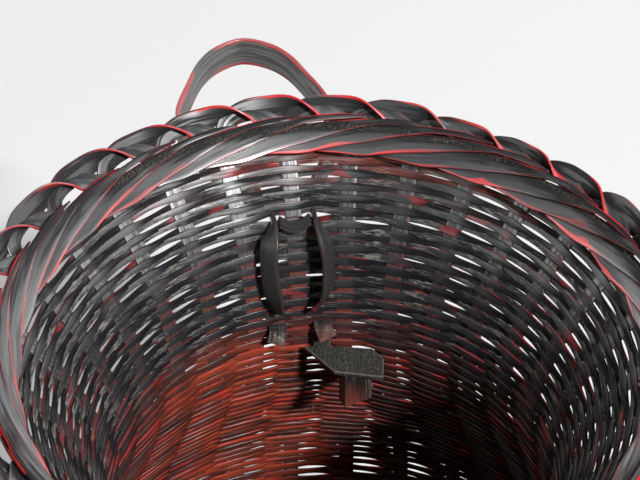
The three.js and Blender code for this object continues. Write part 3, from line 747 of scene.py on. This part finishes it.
# %% [markdown]
# A split bends most where it passes inside a stake, and there it is pressed flat and broad. Where it comes in it
# gets more light dust, which is also a painted highlight on the face that turns to the lamp; the going-out half is
# dull and darkened as painted shade; and low in the belly the coat is so thin that the red-brown bamboo shows.

# %% The weft's path
PRESSED_FLAT = 0.6  # how much broader the split is where it passes inside a stake
out = wall_out(length)
flat = wall_at(length) + out * swing[:, None]
path = place(azimuth, flat)
across = unit(place(azimuth, np.stack([-out[:, 1], out[:, 0]], axis=-1)))
normal = -unit(place(azimuth, out))
pressed = PRESSED_FLAT * np.clip(-np.cos(math.pi * past), 0, 1) ** 4
closer = 0.2 * (1 - high_up * np.repeat(gap_side, SAMPLES))
width = WEFT_WIDTH + closer - 0.45 * opened + pressed + wander(9, 0.06)
print("weft width from", width.min().round(2), "to", width.max().round(2), "mm")

# %% The lacquer numbers of the weft
height = flat[:, 1][:, None]
inside_face = (SLIM_SECTION[:, 1] > 0.5)[None] * 1.0
low_down = ramp_down(height, 210, 16)
coming_in, going_out = np.clip(wave, 0, 1)[:, None], np.clip(-wave, 0, 1)[:, None]
uneven = np.clip(0.85 + wander(12, 0.25), 0.3, 1)[:, None]
under_rim = ramp_up(height, 252, 6) * hill(half_turn(azimuth), 0.15, 0.5)[:, None]
under_rim = under_rim * np.clip(0.1 + wander(6, 0.3), 0, 0.4)[:, None]
# Partly painted light: the weft's red-brown also follows where the lamp lights the wall, and fades on the shaded
# right.
thinned = np.maximum(low_down * uneven * brown_where_lit(azimuth)[:, None] ** 1.5, under_rim)
# Painted highlight: the coming-in half gets more light dust where its face turns to the lamp.
settled_and_lit = np.clip(0.1 + wander(20, 0.12)[:, None] + 0.65 * coming_in * uneven, 0, 1) * (1 - 0.55 * low_down)
# Painted shade: the going-out half is darkened as dull.
weft_numbers = {"brown": thinned * (0.15 + 0.85 * inside_face), "dust": settled_and_lit * (0.3 + 0.7 * inside_face),
                "dull": 0.9 * going_out + 0.25 * coming_in, "wear": 0.25 + 0.1 * low_down}
print("mean share of brown:", weft_numbers["brown"].mean().round(3))

# %% Cut the weft into nine lengths
ZONES = ["foot", "lower_body", "body", "belly", "upper_belly", "shoulder", "lower_neck", "neck", "mouth"]
ends = [WALL_START] + [turn_length(round(i * WEFT_TURNS / len(ZONES) - 0.5) + 0.5) for i in range(1, len(ZONES))]
ends.append(LAST_ROW + 2 * ROW_PITCH)
for zone, low, high in zip(ZONES, ends, ends[1:]):
    pick = np.nonzero((even_length >= low) & (even_length < high))[0]
    pick = np.append(pick, min(pick[-1] + 1, count - 1))
    made = strand(path[pick], across[pick], normal[pick], width[pick], WEFT_THICKNESS, SLIM_SECTION,
                  **{key: values[pick] for key, values in weft_numbers.items()})
    made["tint"] = np.repeat(np.clip(0.5 + wander(40, 0.3), 0, 1)[pick], len(SLIM_SECTION))
    dress(mesh_of(f"fine_weft_{zone}", [made]), "weft_lacquer", f"weft_{zone}")
print("lengths of weft:", len(ZONES))

# %% [markdown]
# ## The hanging loop
# A flat band of bamboo stands out behind the rim. It is pared down to pass through the wall on both sides of one
# stake, and its tails run down the inside like a pair of brackets. The same smooth curve carries it, with a width
# direction that turns from upright, outside, to edge-on, inside. A short tie of three wraps bridges the two tails.

# %% The loop's places
LOOP_WIDTH, LOOP_THICKNESS, LOOP_TAIL_WIDTH = 12.0, 1.6, 6.8
LOOP_SPAN, LOOP_REACH, LOOP_LEAN = 55.4, 85.6, 7.9
LOOP_CLIMB = math.tan(math.radians(6))
STRAP_BOW, RIGHT_CURL = 4.0, 3.0
STRAP_TILT = {-1: math.radians(46), 1: math.radians(30)}
STRAP_SHARE = {1: 0.55, 0.09: 0.75}  # the tails are pared at their ends and near the wall
INNER_FACE = 2.8
STRAP_INSET = INNER_FACE + 2 * CLEARANCE + LOOP_TAIL_WIDTH / 2
STRAP_DROP = LOOP_LENGTH - turn_length(WEFT_TURNS - 5) - 3.5 * LOOP_THICKNESS
DOWN = np.array([0, 0, -1.0])
loop_root = wall_at(LOOP_LENGTH)
loop_along = np.array([math.cos(FIRST_STAKE), -math.sin(FIRST_STAKE), 0])


def outward(azimuth):
    return np.array([math.sin(azimuth), math.cos(azimuth), 0])


def inside_wall(aside, length, inset):
    """A point against the inside of the wall, aside from the loop's stake."""
    here = wall_at(length)
    return place(FIRST_STAKE + aside / here[0], here - wall_out(length) * inset)


def loop_point(reach, aside, lean):
    """A point of the loop outside the wall, at a share of its reach."""
    point = outward(FIRST_STAKE) * (loop_root[0] + reach * LOOP_REACH) + loop_along * (aside - LOOP_LEAN * lean)
    point[2] = loop_root[1] + reach * LOOP_REACH * LOOP_CLIMB
    return point


def loop_side(side):
    """Places, width directions and widths of one side of the loop, from the end of its tail to near its tip."""
    keys = []
    for bow, drop, inset in ((0.2, 1, 0.76), (0.7, 0.8, 1), (1, 0.5, 1), (0.8, 0.24, 1), (0.25, 0.09, 0.55)):
        curl = RIGHT_CURL if side > 0 and drop == 1 else 0
        aside = side * (LOOP_HALF_GAP + bow * STRAP_BOW - curl)
        wide = outward(FIRST_STAKE + aside / loop_root[0] + side * STRAP_TILT[side])
        if drop < 0.2:
            wide = unit(wide + DOWN)
        point = inside_wall(aside, LOOP_LENGTH - drop * STRAP_DROP, inset * STRAP_INSET)
        keys.append((*point, *wide, LOOP_TAIL_WIDTH * STRAP_SHARE.get(drop, 1)))
    keys.append((*inside_wall(side * LOOP_HALF_GAP, LOOP_LENGTH, 0), *DOWN, 0.5 * LOOP_TAIL_WIDTH))
    half = LOOP_SPAN / 2
    outside = ((0.1, LOOP_HALF_GAP + 0.04 * half, 0.55), (0.24, 0.62 * half, 1), (0.4, 0.93 * half, 1),
               (0.57, half, 1), (0.76, 0.78 * half, 1), (0.88, 0.59 * half, 1), (0.955, 0.36 * half, 1))
    for reach, apart, share in outside:
        keys.append((*loop_point(reach, side * apart, min(1, 1.7 * reach)), *DOWN, share * LOOP_WIDTH))
    return keys


tip = (*loop_point(1, 0, 1), *DOWN, LOOP_WIDTH)
loop_keys = loop_side(-1) + [tip] + loop_side(1)[::-1]
print("places on the loop:", len(loop_keys))

# %% Build the loop
def swept_strand(swept, thickness, **numbers):
    path, width = swept[:, :3], swept[:, 6]
    tangent = unit(np.gradient(path, axis=0))
    across = unit(swept[:, 3:6] - tangent * np.sum(swept[:, 3:6] * tangent, axis=1, keepdims=True))
    return strand(path, across, unit(np.cross(tangent, across)), width, thickness, **numbers)


swept = smooth_through(loop_keys, 1.0)
outside = ramp_up(np.hypot(swept[:, 0], swept[:, 1]), loop_root[0] + 3, 6)[:, None]
cut_end = np.exp(-np.arange(len(swept))[::-1] / 2.0)[:, None]
# The tails inside the wall are made duller and darker than the band outside, partly as painted shade.
loop_strand = swept_strand(swept, LOOP_THICKNESS, dust=0.25, wear=0.03 + 0.77 * np.maximum(outside, cut_end),
                           dull=0.55 * (1 - outside) * (1 - cut_end), bare=0.9 * outside)
loop_strand["edge"] = loop_strand["edge"] + np.repeat(0.6 * cut_end[:, 0], loop_strand["sides"])
loop_strand["tint"] = np.repeat(1.6 * outside[:, 0] - 0.9, loop_strand["sides"])
dress(mesh_of("bent_hanging_loop", [loop_strand]), "loop_lacquer", "hanging_loop")
print("loop rings:", len(swept))

# %% Build the tie
WRAP_WIDTH, WRAP_THICKNESS, WRAP_PITCH = 1.5, 1.4, 1.35
tie_end = LOOP_HALF_GAP - LOOP_THICKNESS / 2 - 2.5 * CLEARANCE
tie_inset = INNER_FACE + 3 * CLEARANCE + WRAP_THICKNESS / 2
loop_wall_out = wall_out(LOOP_LENGTH)
wall_up = place(FIRST_STAKE, np.array([-loop_wall_out[1], loop_wall_out[0]]))
wraps = []
for shift in (-WRAP_PITCH, 0, WRAP_PITCH):
    keys = []
    for aside, drop in ((-1, 1.0), (-0.5, 2.8), (0, 3.5), (0.5, 2.8), (1, 1.0)):
        point = inside_wall(aside * tie_end, LOOP_LENGTH - drop + shift, tie_inset + 0.15 * (1 - abs(shift)))
        keys.append((*point, *wall_up, WRAP_WIDTH))
    # Painted shade: the wraps are made fully dull, which darkens them as the shade between the tails.
    wraps.append(swept_strand(smooth_through(keys, 0.7), WRAP_THICKNESS, dust=0.1, wear=0.05, dull=1.0))
dress(mesh_of("wrapped_tie", wraps), "loop_lacquer", "loop_tie")
print("wraps in the tie:", len(wraps))

# %% [markdown]
# ## The keeper, the wedges and the base slats
# These are stiff, knife-cut pieces. Their solids already have the right outline, so each new piece starts from a
# copy of its solid, and the sharp arrises are cut back with a small bevel. The bevel faces are marked as edges,
# so the lacquer is rubbed there and nowhere else.

# %% Cut back the arrises of a knife-cut piece
FLAT_ANGLE, SHARP_ANGLE = math.radians(2), math.radians(25)
ASKEW = (0.3, 0.2, 0.9)  # any direction that no grain runs along


def bevelled(node, name, bevel):
    """A copy of a solid's mesh with its sharp edges cut back."""
    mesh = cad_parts[node].data.copy()
    mesh.name = name
    shape = bmesh.new()
    shape.from_mesh(mesh)
    bmesh.ops.remove_doubles(shape, verts=shape.verts, dist=1e-6)
    bmesh.ops.dissolve_limit(shape, angle_limit=FLAT_ANGLE, verts=shape.verts, edges=shape.edges)
    sharp = [e for e in shape.edges if e.is_manifold and e.calc_face_angle() > SHARP_ANGLE]
    edge = shape.faces.layers.float.new("edge")
    cut = bmesh.ops.bevel(shape, geom=sharp, offset=bevel * MM, segments=2, affect="EDGES", profile=0.6)
    for f in cut["faces"]:
        f[edge] = 1.0
    bmesh.ops.triangulate(shape, faces=[f for f in shape.faces if len(f.verts) > 4])
    shape.to_mesh(mesh)
    shape.free()
    mesh.materials.clear()
    return mesh


def knife_cut(node, name, bevel, grain_axis, dust, wear, brown=0.0, end_brown=None, bare=0.25):
    """A bevelled copy of a solid. grain_axis is the direction of its fibres, which start at the browner end."""
    mesh = bevelled(node, name, bevel)
    points = np.empty(len(mesh.vertices) * 3, np.float32)
    mesh.vertices.foreach_get("co", points)
    points = points.reshape(-1, 3)
    lengthwise = unit(np.asarray(grain_axis, float))
    sideways = unit(np.cross(lengthwise, ASKEW))
    through = np.cross(lengthwise, sideways)
    add_grain(mesh, points @ np.stack([lengthwise, sideways, through], axis=1) + rng.uniform(0, 0.9))
    along = points @ lengthwise
    start = np.clip(1 - 2.5 * (along - along.min()) / np.ptp(along), 0, 1)
    brown = brown + start * ((brown if end_brown is None else end_brown) - brown)
    numbers = {"dust": dust, "brown": brown, "wear": wear, "dull": 0.4, "bare": bare, "tint": rng.uniform(0.3, 0.7)}
    for key, value in numbers.items():
        add_number(mesh, key, np.full(len(points), value))
    return new_piece(name, mesh)


print("edges sharper than", round(math.degrees(SHARP_ANGLE)), "degrees are cut back")

# %% Build the keeper, the wedges and the slats
plate_out = outward(FIRST_STAKE + STEP / 2)
piece = knife_cut("keeper_plate", "cut_keeper_plate", 0.4, plate_out, dust=0.55, wear=0.5, bare=0.1)
dress(piece, "keeper_bamboo", "keeper_plate")
piece = knife_cut("keeper_peg", "split_keeper_peg", 0.3, (0, 0, 1), dust=0.2, wear=0.2, end_brown=0.8, bare=0.7)
dress(piece, "keeper_bamboo", "keeper_peg")
for side, end_brown in (("left", 0.1), ("right", 0.4)):
    piece = knife_cut(f"loop_wedge_{side}", f"cut_wedge_{side}", 0.25, outward(FIRST_STAKE), dust=0.35, wear=0.04,
                      end_brown=end_brown, bare=0.1)
    dress(piece, "keeper_bamboo", f"loop_wedge_{side}")
for way, axis in (("long", (1, 0, 0)), ("cross", (0, 1, 0))):
    piece = knife_cut(f"base_slat_{way}", f"split_slat_{way}", 0.4, axis, dust=0.2, wear=0.6, brown=0.7)
    dress(piece, "base_bamboo", f"base_slat_{way}")
print("knife-cut pieces: 6")

# %% [markdown]
# ## The foot
# A hoop binds the ends of the stakes, and a flat woven mat closes the bottom. Both are hidden in the photograph's
# view, so they follow common practice. The hoop is one bent split whose ends lap over each other in a long scarf.
# The mat is woven from strips in two directions, over one and under one.

# %% Build the hoop
HOOP_INNER = (FOOT_RADIUS + STAKE_THICKNESS / 2 + 1.3 * CLEARANCE) / math.cos(math.pi / (2 * STAKE_COUNT))
HOOP_WIDTH, HOOP_HEIGHT = 3.0, FOOT_HEIGHT - 1
HOOP_LAP, LAP_AT = 0.5, 2.2
turns = np.linspace(0, 2 * math.pi + HOOP_LAP, 260)
lap = ramp_up(np.minimum(turns, turns[-1] - turns), 0, HOOP_LAP)
hoop_thickness = HOOP_WIDTH * (0.06 + 0.94 * lap)
inner_start = turns < math.pi
hoop_middle = HOOP_INNER + np.where(inner_start, hoop_thickness / 2, HOOP_WIDTH - hoop_thickness / 2)
hoop_path = place(turns + LAP_AT, np.stack([hoop_middle, np.full(len(turns), HOOP_HEIGHT / 2)], axis=-1))
hoop_up = np.tile((0.0, 0, 1), (len(turns), 1))
hoop_face = unit(hoop_path * (1, 1, 0))
hoop = strand(hoop_path, hoop_up, hoop_face, HOOP_HEIGHT, hoop_thickness, dust=0.15, wear=0.9)
dress(mesh_of("lapped_foot_hoop", [hoop]), "foot_lacquer", "foot_ring")
print("hoop rings:", len(turns))

# %% Build the mat
MAT_RADIUS = FOOT_RADIUS - STAKE_THICKNESS / 2 - 2 * CLEARANCE
MAT_MIDDLE = 2.9 + CLEARANCE + 2.0
MAT_PITCH, MAT_STRIP, MAT_SPLIT, MAT_SWING = 6.2, 5.7, 0.9, 0.75
strips = []
lanes = np.arange(-int(MAT_RADIUS / MAT_PITCH), int(MAT_RADIUS / MAT_PITCH) + 1)
for way in (0, 1):
    for lane in lanes:
        reach = math.sqrt(max(MAT_RADIUS ** 2 - (abs(lane) * MAT_PITCH + MAT_STRIP / 2) ** 2, 4.0))
        along = np.linspace(-reach, reach, max(6, int(reach * 2 / 1.5)))
        level = MAT_MIDDLE + (1 - 2 * way) * MAT_SWING * np.cos(math.pi * (along / MAT_PITCH + lane))
        path = np.stack([along, np.full(len(along), lane * MAT_PITCH), level], axis=-1)
        wide = np.tile((0.0, 1, 0), (len(along), 1))
        if way:
            path, wide = path[:, [1, 0, 2]], wide[:, [1, 0, 2]]
        normal = unit(np.cross(np.gradient(path, axis=0), wide))
        strips.append(strand(path, wide, normal, MAT_STRIP, MAT_SPLIT, SLIM_SECTION,
                             dust=0.45, brown=rng.uniform(0.5, 1), wear=0.4))
dress(mesh_of("woven_base_mat", strips), "base_bamboo", "base_mat")
print("strips in the mat:", len(strips))

# %% [markdown]
# ## Floor, light and camera
# The basket stands on a plain pale floor. A fairly small lamp at the right of the camera lights the left and the
# far inside of the mouth. Lacquer shows what it mirrors, so a soft pale surround and three broad pale cards, at the
# back and at both sides, give the grey sheen on the ribbons. The camera looks down into the mouth with a long lens.

# %% Floor
FLOOR_SIZE, FLOOR_TONE = 8.0, 0.45
half = FLOOR_SIZE / 2
floor_mesh = bpy.data.meshes.new("floor")
floor_mesh.from_pydata([(-half, -half, 0), (half, -half, 0), (half, half, 0), (-half, half, 0)], [], [(0, 1, 2, 3)])
floor = new_piece("floor", floor_mesh)
paper = bpy.data.materials.new("pale_floor")
paper.use_nodes = True
paper_shader = paper.node_tree.nodes["Principled BSDF"]
paper_shader.inputs["Base Color"].default_value = (FLOOR_TONE, FLOOR_TONE, FLOOR_TONE, 1)
paper_shader.inputs["Roughness"].default_value = 0.9
paper_shader.inputs["Specular IOR Level"].default_value = 0.1
floor_mesh.materials.append(paper)
print("floor:", FLOOR_SIZE, "m wide")

# %% Surround, lamp and cards
SURROUND = 0.42
LAMP_WAY = Vector((0.43, -0.57, 0.70)).normalized()
LAMP_AIM = Vector((0, 0, 0.22))
LAMP_DISTANCE, LAMP_SIZE, LAMP_POWER = 3.5, 0.3, 215
CARD_HEIGHT = 1.4
CARDS = [("back_card", (0, 1.5, 0.9), 180, 4.0, 23),  # name, place, turn, width and power
         ("left_card", (-1.65, -0.15, 0.95), -84, 2.6, 19),
         ("right_card", (1.65, 0.1, 0.95), 88, 2.6, 24)]

world = bpy.data.worlds.new("pale_surround")
bpy.context.scene.world = world
world.use_nodes = True
surround = world.node_tree.nodes["Background"]
surround.inputs["Color"].default_value = (1.0, 1.0, 1.0, 1)
surround.inputs["Strength"].default_value = SURROUND

lamp_data = bpy.data.lights.new("key_lamp", "AREA")
lamp_data.shape = "DISK"
lamp_data.size = LAMP_SIZE
lamp_data.energy = LAMP_POWER
lamp = new_piece("key_lamp", lamp_data)
lamp.location = LAMP_AIM + LAMP_WAY * LAMP_DISTANCE
lamp.rotation_euler = (-LAMP_WAY).to_track_quat("-Z", "Y").to_euler()

for name, spot, turned, wide, power in CARDS:
    card_data = bpy.data.lights.new(name, "AREA")
    card_data.shape = "RECTANGLE"
    card_data.size, card_data.size_y = wide, CARD_HEIGHT
    card_data.energy = power
    card = new_piece(name, card_data)
    card.location = spot
    card.rotation_euler = (math.radians(90), 0, math.radians(turned))
print("lights: one lamp and", len(CARDS), "cards")

# %% Camera
LOOK_DOWN = 42.1  # degrees below level
camera_data = bpy.data.cameras.new("camera")
camera_data.sensor_width = 36.0
camera_data.lens = 106.875
camera_data.clip_end = 30
camera = new_piece("camera", camera_data)
camera.location = (-0.0037, -0.412, 0.6835)
camera.rotation_euler = (math.radians(90 - LOOK_DOWN), 0, 0)
bpy.context.scene.camera = camera
bpy.context.scene.view_settings.view_transform = "Standard"
print("camera at", tuple(round(c, 3) for c in camera.location))
